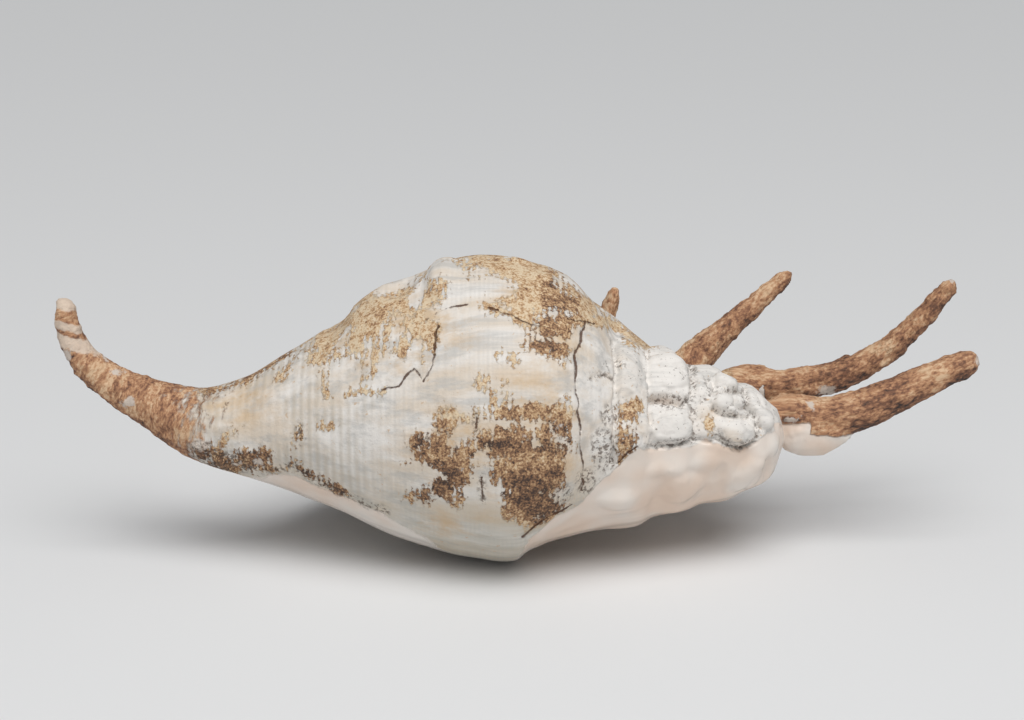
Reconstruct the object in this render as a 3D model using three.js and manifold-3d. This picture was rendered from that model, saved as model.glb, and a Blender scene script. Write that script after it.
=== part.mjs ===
// A spider conch shell, lying on its aperture as it rests on a table.
//
// The shell grew as one piece, so it is one solid: a spindle (siphonal canal, body whorl and
// knobbed spire), a flared outer lip on its far side, and six fingers that grow out of the lip.
// The aperture is the cleft between the spindle and the lip, and a chamber opens out inside it.
//
// Working frame, in millimetres: X runs from the tip of the canal (0) to the tip of the rearmost
// finger, Y from the coiling axis (0) away to the lip, Z up from the table (0). The last lines
// move the origin to the middle of the shell's footprint.
import * as THREE from "three";
import { mergeVertices } from "three/addons/utils/BufferGeometryUtils.js";
import Module from "manifold-3d";

// Driving dimensions.
const LIP_THICKNESS = 7.5; // the lip's wall, before it thins to the margin
const MARGIN_THICKNESS = 6.5; // the lip's wall at its edge
const TABLE_DEPTH = 20; // how far the trimming block reaches below the table
const BODY_AROUND = 40; // facets round the spindle
const BODY_ALONG = 68; // rings along the spindle
const FINGER_AROUND = 10; // facets round a finger
const FINGER_ALONG = 15; // rings along a finger
const LIP_ALONG = 44; // facets along the lip
const LIP_ACROSS = 8; // facets from the lip's root to its margin

// The spindle at its stations, from the tip of the canal to the apex:
// centre [x, y, z], then how far it reaches [up and down, towards the front, towards the back].
const SPINDLE = [
  { centre: [2.6, 8, 82.4], reach: [0, 0, 0] },
  { centre: [2.8, 8, 80.4], reach: [2.9, 2.9, 2.9] },
  { centre: [3.9, 7, 71.4], reach: [4.0, 4.0, 4.0] },
  { centre: [8.0, 6, 63.0], reach: [4.9, 4.9, 4.9] },
  { centre: [18.0, 4, 54.8], reach: [5.9, 6.0, 6.0] },
  { centre: [31.0, 2, 48.6], reach: [8.0, 8.2, 8.0] },
  { centre: [46.0, 0, 43.0], reach: [11.8, 12.0, 11.0] },
  { centre: [61.0, 0, 42.0], reach: [16.2, 16.5, 15.5] },
  { centre: [77.0, 0, 43.2], reach: [23.6, 24.0, 22.0] },
  { centre: [93.0, 0, 44.6], reach: [31.5, 31.5, 29.0] },
  { centre: [109.0, 0, 45.2], reach: [39.0, 38.0, 35.0] },
  { centre: [125.0, 0, 45.8], reach: [44.4, 42.5, 39.0] },
  { centre: [140.0, 0, 46.2], reach: [46.8, 44.0, 40.0] },
  { centre: [151.0, 0, 45.6], reach: [46.0, 43.0, 39.0] },
  { centre: [160.0, 0, 44.0], reach: [39.8, 40.0, 36.0] },
  { centre: [168.0, 0, 42.4], reach: [34.0, 35.0, 33.0] },
  { centre: [178.0, 0, 41.2], reach: [29.2, 30.0, 29.0] },
  { centre: [188.0, 0, 40.4], reach: [26.4, 27.0, 26.0] },
  { centre: [199.0, 0, 39.6], reach: [22.4, 23.0, 23.0] },
  { centre: [210.0, 0, 39.0], reach: [19.0, 19.0, 19.0] },
  { centre: [220.0, 0, 38.4], reach: [15.0, 15.0, 15.0] },
  { centre: [227.0, 0, 38.0], reach: [9.5, 9.5, 9.5] },
  { centre: [230.4, 0, 37.8], reach: [0, 0, 0] },
];

// Knobs of the body whorl: where along X, at which turn (0 back, 90 top, 180 front, in degrees),
// how high, and how far they spread along X (mm) and round the whorl (degrees).
const BODY_KNOBS = [
  { x: 129, turn: 84, height: 4.9, length: 14, spread: 34 }, // great dorsal hump
  { x: 102.5, turn: 86, height: 4.6, length: 6.5, spread: 26 }, // small hump in front of it
  { x: 150, turn: 150, height: 2, length: 12, spread: 22 }, // shoulder on the near flank
  { x: 148, turn: 205, height: 2, length: 14, spread: 20 },
];

// The spire's spiral: where each suture crosses the front of the shell.
const SUTURES_X = [164.6, 187.2, 200.5, 216, 226];
const KNOBS_PER_TURN = 8.5;
const STEP_SHARE = 0.1; // how far a whorl stands out over the one before it, as a share of the radius
const KNOB_SHARE = 0.08; // how far a spire knob stands out, as a share of the radius
const CALLUS_TURN = [215, 340]; // the glaze covers the spire's underside between these turns
const CALLUS_RISE = 1.6; // thickness of the glaze over the spire's knobs

// The canal is a tube that is open along a groove on its lower back side.
const GROOVE = { turn: 300, halfWidth: 26, depthShare: 0.5, fromX: 4, toX: 84 };

// The outer lip as ribs from front to rear, each from its root on the spindle to its margin.
const LIP_RIBS = [
  [[72, 3, 54], [70, 8, 50], [68, 12, 43], [66, 14, 36], [64, 16, 32]],
  [[92, 10, 68], [91, 26, 62], [90, 36, 45], [88, 44, 22], [84, 58, 4]],
  [[118, 12, 82], [117, 36, 73], [115, 49, 48], [113, 57, 19], [110, 77, -2.5]],
  [[146, 12, 87], [146, 39, 77], [146, 53, 49], [146, 62, 19], [147, 83, -2.5]],
  [[168, 12, 76], [170, 35, 69], [174, 48, 49], [178, 58, 28], [184, 77, 13]],
  [[188, 6, 58], [195, 21, 53], [202, 33, 47], [209, 43, 42], [217, 52, 37]],
  [[212, 2, 45], [217, 6, 43], [222, 8, 41], [227, 10, 39.5], [232, 11.5, 37.5]],
];
const SCALLOP = 0.12; // how far the margin draws in between two fingers, as a share of a rib
const FLUTE = { height: 5, width: 0.034, from: 0.25 }; // the lip rises in a flute below each finger

// The fingers, rearmost first: where along the lip each one grows (0 front, 1 rear), the points
// that it passes on its way to the tip, and its radius at the margin, half way out and at the tip.
const FINGERS = [
  {
    at: 1,
    free: [[243, 12, 41.6], [256, 12.5, 44], [274, 14, 51.8], [292.2, 15, 60]],
    radii: [5.8, 6.5, 4],
  },
  {
    at: 0.88,
    free: [[231, 39, 44], [241, 40, 45], [256, 42, 48.4], [272, 44.5, 57.6], [290, 47, 77.2]],
    radii: [6.2, 5.3, 3],
  },
  { at: 0.75, free: [[208, 69, 47], [221, 78, 56], [241.2, 88, 71.6]], radii: [8.4, 4.9, 2.4] },
  { at: 0.6, free: [[173, 96, 37], [181, 106, 61.8]], radii: [6.8, 4.5, 2.2] },
  { at: 0.445, free: [[136, 104, 22], [140, 114, 48]], radii: [6.8, 4.5, 2.2] },
  { at: 0.295, free: [[95, 93, 18], [89, 103, 37]], radii: [6.6, 4.4, 2.2] },
];
// Where a finger's line lies on the lip: the share of a rib, and how far above the wall's middle.
const FINGER_ROOTS = [
  { across: 0.5, lift: -0.6 },
  { across: 0.86, lift: 1.2 },
];
const FINGER_BURIED = 2.6; // radius of a finger's first end, hidden in the lip
const FINGER_TIP = 0.95; // where along a finger its end begins to round off
const FINGER_GROOVE = { halfWidth: 44, depthShare: 0.4 }; // open underside near the margin

// The rearmost finger's root: a glazed flap hangs below it, beside the notch at the lip's end.
const FLAP = { centre: [240, 10, 37.4], reach: [13, 4.8, 8.4] };
const NOTCH = { centre: [238, 17.5, 33], reach: [15, 4.4, 6.5] };

// The chamber inside the body whorl, open to the aperture on its far side.
const CHAMBER = { centre: [146, 30, 42], reach: [48, 16, 27] };

const SHELL_COLOUR = 0xe3dac9;

const wasm = await Module();
wasm.setup();
const UP = new THREE.Vector3(0, 0, 1);
const BACK = new THREE.Vector3(0, 1, 0);
const { clamp, degToRad, lerp, smoothstep } = THREE.MathUtils;

// A smooth curve through points given as [x, y, z].
function curveThrough(points) {
  return new THREE.CatmullRomCurve3(points.map((p) => new THREE.Vector3(...p)));
}

// Moves each vertex of a primitive to where place(vertex) puts it.
function sculpt(geometry, place) {
  const position = geometry.attributes.position;
  const vertex = new THREE.Vector3();
  for (let i = 0; i < position.count; i++) {
    vertex.fromBufferAttribute(position, i);
    position.setXYZ(i, ...place(vertex));
  }
  return geometry;
}

// A closed three.js geometry as a solid that can be joined and cut.
function solid(geometry) {
  geometry.deleteAttribute("normal");
  geometry.deleteAttribute("uv");
  const merged = mergeVertices(geometry);
  return new wasm.Manifold(
    new wasm.Mesh({
      numProp: 3,
      vertProperties: new Float32Array(merged.attributes.position.array),
      triVerts: new Uint32Array(merged.index.array),
    }),
  );
}

// A unit sphere's vertex as [share of the way from pole to pole, angle round in radians].
function sphereCoordinates(vertex) {
  const along = Math.acos(clamp(vertex.y, -1, 1)) / Math.PI;
  const turn = Math.atan2(vertex.z, vertex.x);
  return [along, turn < 0 ? turn + 2 * Math.PI : turn];
}

// A soft bump: 1 at 0, and down to nothing a few widths away.
function bump(distance, width) {
  return Math.exp(-0.5 * (distance / width) ** 2);
}

// The smallest difference between two angles, in radians.
function angleBetween(a, b) {
  return Math.abs(Math.atan2(Math.sin(a - b), Math.cos(a - b)));
}

// How many sutures lie between the body whorl and x, as a smooth count.
function whorlsAt(x) {
  const last = SUTURES_X.length - 1;
  for (let n = 0; n < last; n++) {
    if (x < SUTURES_X[n + 1]) return n + (x - SUTURES_X[n]) / (SUTURES_X[n + 1] - SUTURES_X[n]);
  }
  return last + (x - SUTURES_X[last]) / (SUTURES_X[last] - SUTURES_X[last - 1]);
}

// How far the glaze covers the spire at this place, from 0 to 1.
function callusCover(x, turn) {
  const [from, to] = CALLUS_TURN.map(degToRad);
  const edge = degToRad(18);
  const round = smoothstep(turn, from, from + edge) * (1 - smoothstep(turn, to - edge, to));
  return round * smoothstep(x, SUTURES_X[0] - 10, SUTURES_X[0] + 10);
}

// The spire's relief as a share of its radius: stepped whorls with a row of knobs on each.
function spireRelief(x, turn) {
  const phase = whorlsAt(x) - (turn - Math.PI) / (2 * Math.PI);
  const whorl = Math.floor(phase);
  const across = phase - whorl;
  const step = smoothstep(across, 0, 0.75) * (1 - smoothstep(across, 0.82, 1)) - 0.45;
  const knob = Math.max(0, Math.cos(KNOBS_PER_TURN * (turn + 2 * Math.PI * whorl)));
  return STEP_SHARE * step + KNOB_SHARE * knob * bump(across - 0.55, 0.2);
}

// How much the spindle's radius is scaled by its relief at this place.
function spindleScale(x, turn) {
  const onSpire = smoothstep(x, SUTURES_X[0] - 4, SUTURES_X[0] + 14);
  const cover = callusCover(x, turn);
  let scale = 1 + onSpire * spireRelief(x, turn) * (1 - 0.5 * cover);
  const { turn: grooveTurn, halfWidth, depthShare, fromX, toX } = GROOVE;
  const along = smoothstep(x, fromX, fromX + 8) * (1 - smoothstep(x, toX - 20, toX));
  scale -= depthShare * along * bump(angleBetween(turn, degToRad(grooveTurn)), degToRad(halfWidth) / 2);
  return scale;
}

// How far the body whorl's knobs and the glaze stand out at this place, in mm.
function spindleRise(x, turn) {
  let rise = CALLUS_RISE * callusCover(x, turn);
  for (const knob of BODY_KNOBS) {
    const round = angleBetween(turn, degToRad(knob.turn));
    rise += knob.height * bump(x - knob.x, knob.length) * bump(round, degToRad(knob.spread));
  }
  return rise;
}

// The spindle: canal, body whorl and spire, as a sphere drawn out along the coiling axis.
function spindle() {
  const axis = curveThrough(SPINDLE.map((s) => s.centre));
  const reach = curveThrough(SPINDLE.map((s) => s.reach));
  const shape = new THREE.SphereGeometry(1, BODY_AROUND, BODY_ALONG);
  return sculpt(shape, (vertex) => {
    const [along, turn] = sphereCoordinates(vertex);
    const centre = axis.getPoint(along);
    const up = axis.getTangent(along).cross(BACK).normalize();
    const [height, front, back] = reach.getPoint(along).toArray();
    const x = centre.x;
    const ended = clamp(height / 10, 0, 1);
    const scale = spindleScale(x, turn);
    const rise = spindleRise(x, turn) * ended;
    const sideways = (Math.cos(turn) > 0 ? back : front) * scale + rise;
    const upwards = height * scale + rise;
    return centre
      .addScaledVector(BACK, Math.max(0, sideways) * Math.cos(turn))
      .addScaledVector(up, Math.max(0, upwards) * Math.sin(turn));
  });
}

// A point of the plain surface through the ribs: along from front to rear, across from root to
// margin.
const ribCurves = LIP_RIBS.map(curveThrough);
function ribSurface(along, across) {
  return new THREE.CatmullRomCurve3(ribCurves.map((rib) => rib.getPoint(across))).getPoint(along);
}

// The direction out of the lip's upper face.
function lipNormal(along, across) {
  const step = 0.01;
  const a = clamp(along, step, 1 - step);
  const b = clamp(across, step, 1 - step);
  const lengthwise = ribSurface(a + step, b).sub(ribSurface(a - step, b));
  return lengthwise.cross(ribSurface(a, b + step).sub(ribSurface(a, b - step))).normalize();
}

// A point in the middle of the lip's wall, which rises in a flute towards each finger.
function lipSurface(along, across) {
  const flutes = FINGERS.map(({ at }) => bump(along - at, FLUTE.width));
  const rise = FLUTE.height * Math.max(...flutes) * smoothstep(across, FLUTE.from, 1);
  return ribSurface(along, across).addScaledVector(lipNormal(along, across), rise);
}

// How far the margin draws in here: 0 at a finger, 1 half way to the next one.
function scallop(along) {
  const places = FINGERS.map((one) => one.at);
  const after = Math.min(...places.filter((at) => at >= along));
  const before = Math.max(...places.filter((at) => at < along), 0);
  return Math.sin(Math.PI * clamp((along - before) / (after - before), 0, 1));
}

// The outer lip: a slab whose faces follow the surface drawn through the ribs.
function lip() {
  const slab = new THREE.BoxGeometry(1, 1, 1, LIP_ALONG, LIP_ACROSS, 1);
  return sculpt(slab, (vertex) => {
    const along = vertex.x + 0.5;
    const across = (vertex.y + 0.5) * (1 - SCALLOP * scallop(along));
    const thickness = lerp(LIP_THICKNESS, MARGIN_THICKNESS, across);
    return lipSurface(along, across).addScaledVector(lipNormal(along, across), vertex.z * thickness);
  });
}

// A finger's radius at a share of its line: it rises out of the lip up to the margin, which lies
// at the share base, then tapers to its tip.
function fingerRadius(along, base, [margin, middle, tip]) {
  if (along < base) return lerp(FINGER_BURIED, margin, along / base);
  const out = (along - base) / (1 - base);
  const rounded = Math.sqrt(1 - clamp((along - FINGER_TIP) / (1 - FINGER_TIP), 0, 1) ** 2);
  const taper = out < 0.5 ? lerp(margin, middle, out * 2) : lerp(middle, tip, out * 2 - 1);
  return taper * rounded;
}

// One finger: a sphere drawn out along a line that starts in the lip, with a groove underneath.
function finger({ at, free, radii }) {
  const roots = FINGER_ROOTS.map(({ across, lift }) =>
    lipSurface(at, across).addScaledVector(lipNormal(at, across), lift),
  );
  const path = curveThrough([...roots.map((p) => p.toArray()), ...free]);
  const base = (roots.length - 1) / (path.points.length - 1);
  const { halfWidth, depthShare } = FINGER_GROOVE;
  const shape = new THREE.SphereGeometry(1, FINGER_AROUND, FINGER_ALONG);
  return sculpt(shape, (vertex) => {
    const [share, turn] = sphereCoordinates(vertex);
    const along = 1 - (1 - share) ** 1.5;
    const tangent = path.getTangent(along);
    const side = UP.clone().cross(tangent).normalize();
    const over = tangent.clone().cross(side).normalize();
    const opened = smoothstep(along, base / 2, base) * (1 - smoothstep(along, base, base + 0.3));
    const underneath = bump(angleBetween(turn, degToRad(270)), degToRad(halfWidth) / 2);
    const groove = depthShare * opened * underneath;
    const radius = along > 0 ? fingerRadius(along, base, radii) * (1 - groove) : 0;
    return path
      .getPoint(along)
      .addScaledVector(side, radius * Math.cos(turn))
      .addScaledVector(over, radius * Math.sin(turn));
  });
}

// A smooth round lump: the chamber, the flap and the notch are such lumps.
function ellipsoid({ centre, reach }) {
  return new THREE.SphereGeometry(1, 14, 9).scale(...reach).translate(...centre);
}

// The block below the table, which leaves small worn flats where the shell rests.
function tableBlock() {
  const side = 1000;
  return new THREE.BoxGeometry(side, side, TABLE_DEPTH).translate(0, 0, -TABLE_DEPTH / 2);
}

// The whole shell as one solid.
function shellSolid() {
  let shell = solid(spindle()).subtract(solid(ellipsoid(CHAMBER))).add(solid(lip()));
  for (const one of FINGERS) shell = shell.add(solid(finger(one)));
  shell = shell.add(solid(ellipsoid(FLAP))).subtract(solid(ellipsoid(NOTCH)));
  return shell.subtract(solid(tableBlock()));
}

// A solid as a three.js geometry with its origin below the middle of its footprint.
function centredGeometry(made) {
  const { vertProperties, triVerts } = made.getMesh();
  const geometry = new THREE.BufferGeometry();
  geometry.setAttribute("position", new THREE.BufferAttribute(vertProperties, 3));
  geometry.setIndex(new THREE.BufferAttribute(triVerts, 1));
  geometry.computeBoundingBox();
  const middle = geometry.boundingBox.getCenter(new THREE.Vector3());
  geometry.translate(-middle.x, -middle.y, 0);
  geometry.computeVertexNormals();
  return geometry;
}

const shell = new THREE.Mesh(
  centredGeometry(shellSolid()),
  new THREE.MeshStandardMaterial({ color: SHELL_COLOUR, roughness: 0.75, metalness: 0 }),
);
shell.name = "shell";

const conch = new THREE.Group();
conch.add(shell);
export default conch;
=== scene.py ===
"""Looks of a weathered spider conch shell that lies on its aperture.

The shell is one piece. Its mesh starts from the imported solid, is remeshed and relaxed, and is then
given the knobs of the spire, the cracks and the rough crust of the fingers. Marks that only the
photograph tells, such as bare and brown patches, are placed by the photograph's pixels and stored
on the mesh, so they stay on the shell from any side.
"""

import logging
import math
from dataclasses import dataclass
from enum import Enum
from typing import Iterable, Sequence, Union

import bmesh
import bpy
import numpy as np
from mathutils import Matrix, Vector, noise
from mathutils.bvhtree import BVHTree


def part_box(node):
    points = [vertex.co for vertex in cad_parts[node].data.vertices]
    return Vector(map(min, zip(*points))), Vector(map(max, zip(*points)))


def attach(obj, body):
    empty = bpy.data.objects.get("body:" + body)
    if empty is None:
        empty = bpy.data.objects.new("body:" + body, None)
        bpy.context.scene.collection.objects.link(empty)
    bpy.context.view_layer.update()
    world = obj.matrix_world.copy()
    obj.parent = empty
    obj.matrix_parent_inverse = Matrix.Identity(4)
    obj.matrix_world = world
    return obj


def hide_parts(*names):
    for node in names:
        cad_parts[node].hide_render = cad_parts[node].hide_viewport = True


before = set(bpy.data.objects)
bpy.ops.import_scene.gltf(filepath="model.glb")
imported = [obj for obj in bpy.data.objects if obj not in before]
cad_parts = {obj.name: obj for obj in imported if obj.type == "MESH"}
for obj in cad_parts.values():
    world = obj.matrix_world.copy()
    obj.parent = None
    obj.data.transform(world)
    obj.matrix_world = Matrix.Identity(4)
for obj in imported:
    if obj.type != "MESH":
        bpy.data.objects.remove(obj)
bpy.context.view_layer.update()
LOG = logging.getLogger("conch")

MM = 0.001
PX_MM = 0.3135  # what one pixel of the photograph measures at the coiling axis
AXIS_SHARE = 0.2796  # where the coiling axis lies across the shell's depth
PHOTO_MIDDLE = (0.4929, AXIS_SHARE, 0.6602)  # shares of the shell's box at the photograph's middle
NOWHERE = -50.0  # pixels, far outside any mark

Pixel = tuple[float, float]
Colour = tuple[float, float, float]
Ramp = tuple[tuple[float, Colour], ...]
Socket = bpy.types.NodeSocket
Value = Union[float, Sequence[float], Socket]


class Field(Enum):
    """The marks that are stored on the mesh, one number a vertex, FLOW with three."""

    SKIN = "skin"  # brown skin, in pixels inside its edge
    TONE_AND_SHADE = "shade"  # how dark the skin and the crust are, with painted shade on the crust's undersides
    STAIN = "stain"  # soft tan stain in the chalk
    GLAZE = "glaze"  # glossy callus, in pixels inside its edge
    CRUST = "crust"  # rough brown crust of the fingers and the canal
    CRACK = "crack"  # cracks, in pixels inside their edges
    DARK_SPECKS = "dark_specks"  # darker specks in the spire's crevices, along the lower edge and beside some cracks
    PALE = "pale"  # whitish spots on the crust, in pixels inside their edges
    RING = "ring"  # height along the canal's tip, in mm
    SPIRE = "spire"  # bare white whorls of the spire
    FLOW = "flow"  # place along and about the nearest finger, in metres


class Space(Enum):
    """What a pattern is laid out along."""

    SHELL = "Object"
    FINGER = "flow"


def srgb(red: int, green: int, blue: int) -> Colour:
    """Returns a colour given in 0 to 255 screen values as linear values."""

    def linear(value: int) -> float:
        """Returns one channel as a linear value."""
        share = value / 255
        return share / 12.92 if share <= 0.04045 else ((share + 0.055) / 1.055) ** 2.4

    return linear(red), linear(green), linear(blue)


def smoothstep(low: float, high: float, values: np.ndarray) -> np.ndarray:
    """Returns 0 at low, 1 at high and a smooth change between them."""
    share = np.clip((values - low) / (high - low), 0.0, 1.0)
    return share * share * (3.0 - 2.0 * share)


def ripple(points: np.ndarray, size: Sequence[float], octaves: int = 3) -> np.ndarray:
    """Returns smooth noise at points.

    Args:
        points: places, in mm.
        size: how long a wave is along X, Y and Z, in mm.
        octaves: how many finer waves are added.

    Returns:
        One value for each point, mostly from -1 to 1.
    """
    scaled = points / np.asarray(size, float)
    return np.array([noise.fractal(Vector(p), 1.0, 2.0, octaves) for p in scaled])


@dataclass(frozen=True)
class PhotoView:
    """Where the photograph was taken from and how the shell falls on its pixels."""

    target: Vector
    width: int = 1024
    height: int = 720
    distance: float = 0.700
    elevation: float = math.radians(15)
    sensor_mm: float = 36.0

    @property
    def focal_px(self) -> float:
        """Focal length in pixels."""
        return self.distance / (PX_MM * MM)

    @property
    def back(self) -> Vector:
        """Direction from the target to the camera."""
        return Vector((0.0, -math.cos(self.elevation), math.sin(self.elevation)))

    @property
    def eye(self) -> Vector:
        """Place of the camera."""
        return self.target + self.back * self.distance

    @property
    def up(self) -> Vector:
        """Upward direction of the picture."""
        return Vector((0.0, math.sin(self.elevation), math.cos(self.elevation)))

    def to_pixels(self, points: np.ndarray) -> np.ndarray:
        """Returns the photograph's pixels of points given in metres."""
        offset = points - np.array(self.eye)
        depth = -(offset @ np.array(self.back))
        across = self.width / 2 + self.focal_px * offset[:, 0] / depth
        down = self.height / 2 - self.focal_px * (offset @ np.array(self.up)) / depth
        return np.stack([across, down], axis=1)

    def facing(self, points: np.ndarray, normals: np.ndarray) -> np.ndarray:
        """Returns how squarely each point faces the camera, from -1 to 1."""
        sight = np.array(self.eye) - points
        sight /= np.linalg.norm(sight, axis=1, keepdims=True)
        return np.einsum("ij,ij->i", sight, normals)

    def ray(self, pixel: Pixel) -> tuple[Vector, Vector]:
        """Returns where the line of sight through a pixel starts, and its direction."""
        right = (pixel[0] - self.width / 2) / self.focal_px
        rise = (self.height / 2 - pixel[1]) / self.focal_px
        direction = Vector((right, 0.0, 0.0)) + self.up * rise - self.back
        return self.eye, direction.normalized()

    def add_camera(self) -> bpy.types.Object:
        """Adds the scene's camera at the photograph's place and returns it."""
        data = bpy.data.cameras.new("camera")
        data.sensor_width = self.sensor_mm
        data.lens = self.focal_px * self.sensor_mm / self.width
        camera = bpy.data.objects.new("camera", data)
        camera.location = self.eye
        camera.rotation_euler = (math.pi / 2 - self.elevation, 0.0, 0.0)
        bpy.context.scene.collection.objects.link(camera)
        bpy.context.scene.camera = camera
        return camera


@dataclass(frozen=True)
class Blotch:
    """A round mark in the photograph: its middle and half sizes, in pixels."""

    x: float
    y: float
    across: float
    down: float

    def inside(self, pixels: np.ndarray) -> np.ndarray:
        """Returns how far inside its edge each pixel is, negative outside."""
        reach = np.hypot((pixels[:, 0] - self.x) / self.across, (pixels[:, 1] - self.y) / self.down)
        return (1.0 - reach) * min(self.across, self.down)


@dataclass(frozen=True)
class Stroke:
    """A drawn line in the photograph: its points and half width, in pixels."""

    points: tuple[Pixel, ...]
    half_width: float = 1.0

    def distance(self, pixels: np.ndarray) -> np.ndarray:
        """Returns how far each pixel is from the line."""
        nearest = np.full(len(pixels), 1e6)
        for start, end in zip(self.points, self.points[1:]):
            run = np.subtract(end, start)
            share = np.clip((pixels - start) @ run / (run @ run), 0.0, 1.0)
            nearest = np.minimum(nearest, np.linalg.norm(pixels - start - share[:, None] * run, axis=1))
        return nearest

    def inside(self, pixels: np.ndarray) -> np.ndarray:
        """Returns how far inside the stroke each pixel is, negative outside."""
        return self.half_width - self.distance(pixels)

    def groove(self, pixels: np.ndarray, spread: float) -> np.ndarray:
        """Returns how deep a groove along the line is at each pixel.

        Args:
            pixels: places in the photograph.
            spread: how far to either side the groove reaches, in pixels.

        Returns:
            The half width on the line itself, and less away from it.
        """
        return self.half_width * np.exp(-((self.distance(pixels) / spread) ** 2))


Mark = Union[Blotch, Stroke]


def cover(marks: Iterable[Mark], pixels: np.ndarray) -> np.ndarray:
    """Returns how far inside the nearest of several marks each pixel is."""
    return np.max([mark.inside(pixels) for mark in marks], axis=0)


@dataclass(frozen=True)
class Lump:
    """A knob on the surface, seen at a pixel: half sizes in pixels, and how far it stands out in mm.

    A low bluntness gives a soft swelling, a high one a knob with steep sides.
    """

    x: float
    y: float
    across: float
    down: float
    proud: float
    bluntness: float = 2.0

    def rise(self, points: np.ndarray, place: Vector, normal: Vector, warp: np.ndarray) -> np.ndarray:
        """Returns how far the knob lifts each point, in mm.

        Args:
            points: places on the surface, in metres.
            place: the point of the surface that the knob's pixel shows.
            normal: the surface's direction there.
            warp: how much wider or narrower the knob is at each point.

        Returns:
            One height for each point.
        """
        along = (Vector((1.0, 0.0, 0.0)) - normal * normal.x).normalized()
        offset = (points - np.array(place)) / (PX_MM * MM)
        across = offset @ np.array(along) / self.across
        down = offset @ np.array(normal.cross(along)) / self.down
        reach = np.hypot(across, down)
        depth = np.abs(offset @ np.array(normal)) / (1.6 * max(self.across, self.down))
        share = np.clip(1.0 - (reach * (1.0 + warp)) ** 2 - depth**2, 0.0, 1.0)
        return self.proud * share ** (1.0 / self.bluntness)


SOFT = 0.7
KNOB = 3.5

SPIRE_LUMPS = (
    Lump(599, 346, 19, 25, 0.8, SOFT),
    Lump(600, 404, 17, 27, 0.9, SOFT),
    Lump(600, 452, 16, 20, 0.7, SOFT),
    Lump(632, 372, 15, 30, 0.5, SOFT),
    Lump(632, 425, 14, 24, 0.4, SOFT),
    Lump(668, 369, 23, 25, 1.8),
    Lump(673, 429, 23, 15, 2.2),
    Lump(701, 388, 10, 14, 1.2),
    Lump(703, 410, 8, 9, 1.0),
    Lump(709, 428, 9, 13, 1.2),
    Lump(724, 382, 14, 9, 2.4, KNOB),
    Lump(722, 401, 11, 8, 2.2, KNOB),
    Lump(738, 402, 8, 7, 2.5, KNOB),
    Lump(730, 410, 5, 4, 2.2),
    Lump(750, 400, 11, 9, 2.0),
    Lump(757, 409, 6, 5, 2.0),
    Lump(765, 419, 12, 11, 2.6),
    Lump(738, 432, 19, 13, 3.2, KNOB),
    Lump(721, 425, 8, 8, 1.6),
    Lump(684, 490, 25, 24, 2.2, SOFT),
    Lump(706, 462, 20, 13, 0.8, SOFT),
    Lump(747, 474, 20, 24, 2.4, SOFT),
    Lump(773, 444, 13, 15, 1.2, SOFT),
    Lump(618, 502, 24, 15, 1.0, SOFT),
    Lump(657, 470, 16, 10, 0.7, SOFT),
)
FORM_LUMPS = (
    Lump(441, 273, 20, 50, 3.0, SOFT),
    Lump(518, 261, 18, 9, 1.0, SOFT),
    Lump(545, 278, 20, 14, 0.8, SOFT),
    Lump(302, 356, 14, 7, 1.3, SOFT),
    Lump(889, 333, 48, 40, 1.6, SOFT),
)
FORM_DENTS = (
    Lump(396, 286, 24, 30, 3.4, SOFT),
    Lump(334, 324, 26, 50, 1.9, SOFT),
    Lump(587, 294, 40, 85, 6.2, SOFT),
    Lump(722, 482, 10, 26, 1.5, SOFT),
    Lump(768, 468, 8, 20, 1.3, SOFT),
    Lump(622, 325, 19, 60, 3.6, SOFT),
)
CRUST_LUMPS = (
    Lump(200, 447, 11, 6, 1.3),
    Lump(222, 461, 9, 6, 1.3),
    Lump(246, 453, 9, 6, 1.2),
    Lump(257, 467, 8, 5, 1.1),
    Lump(236, 470, 7, 5, 1.1),
    Lump(271, 468, 6, 4, 1.0),
    Lump(793, 420, 10, 5, 0.9),
    Lump(926, 369, 8, 5, 0.9),
    Lump(880, 387, 6, 4, 0.8),
    Lump(889, 327, 6, 6, 0.8),
    Lump(914, 309, 6, 6, 0.9),
    Lump(845, 358, 6, 4, 0.8),
)

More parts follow.
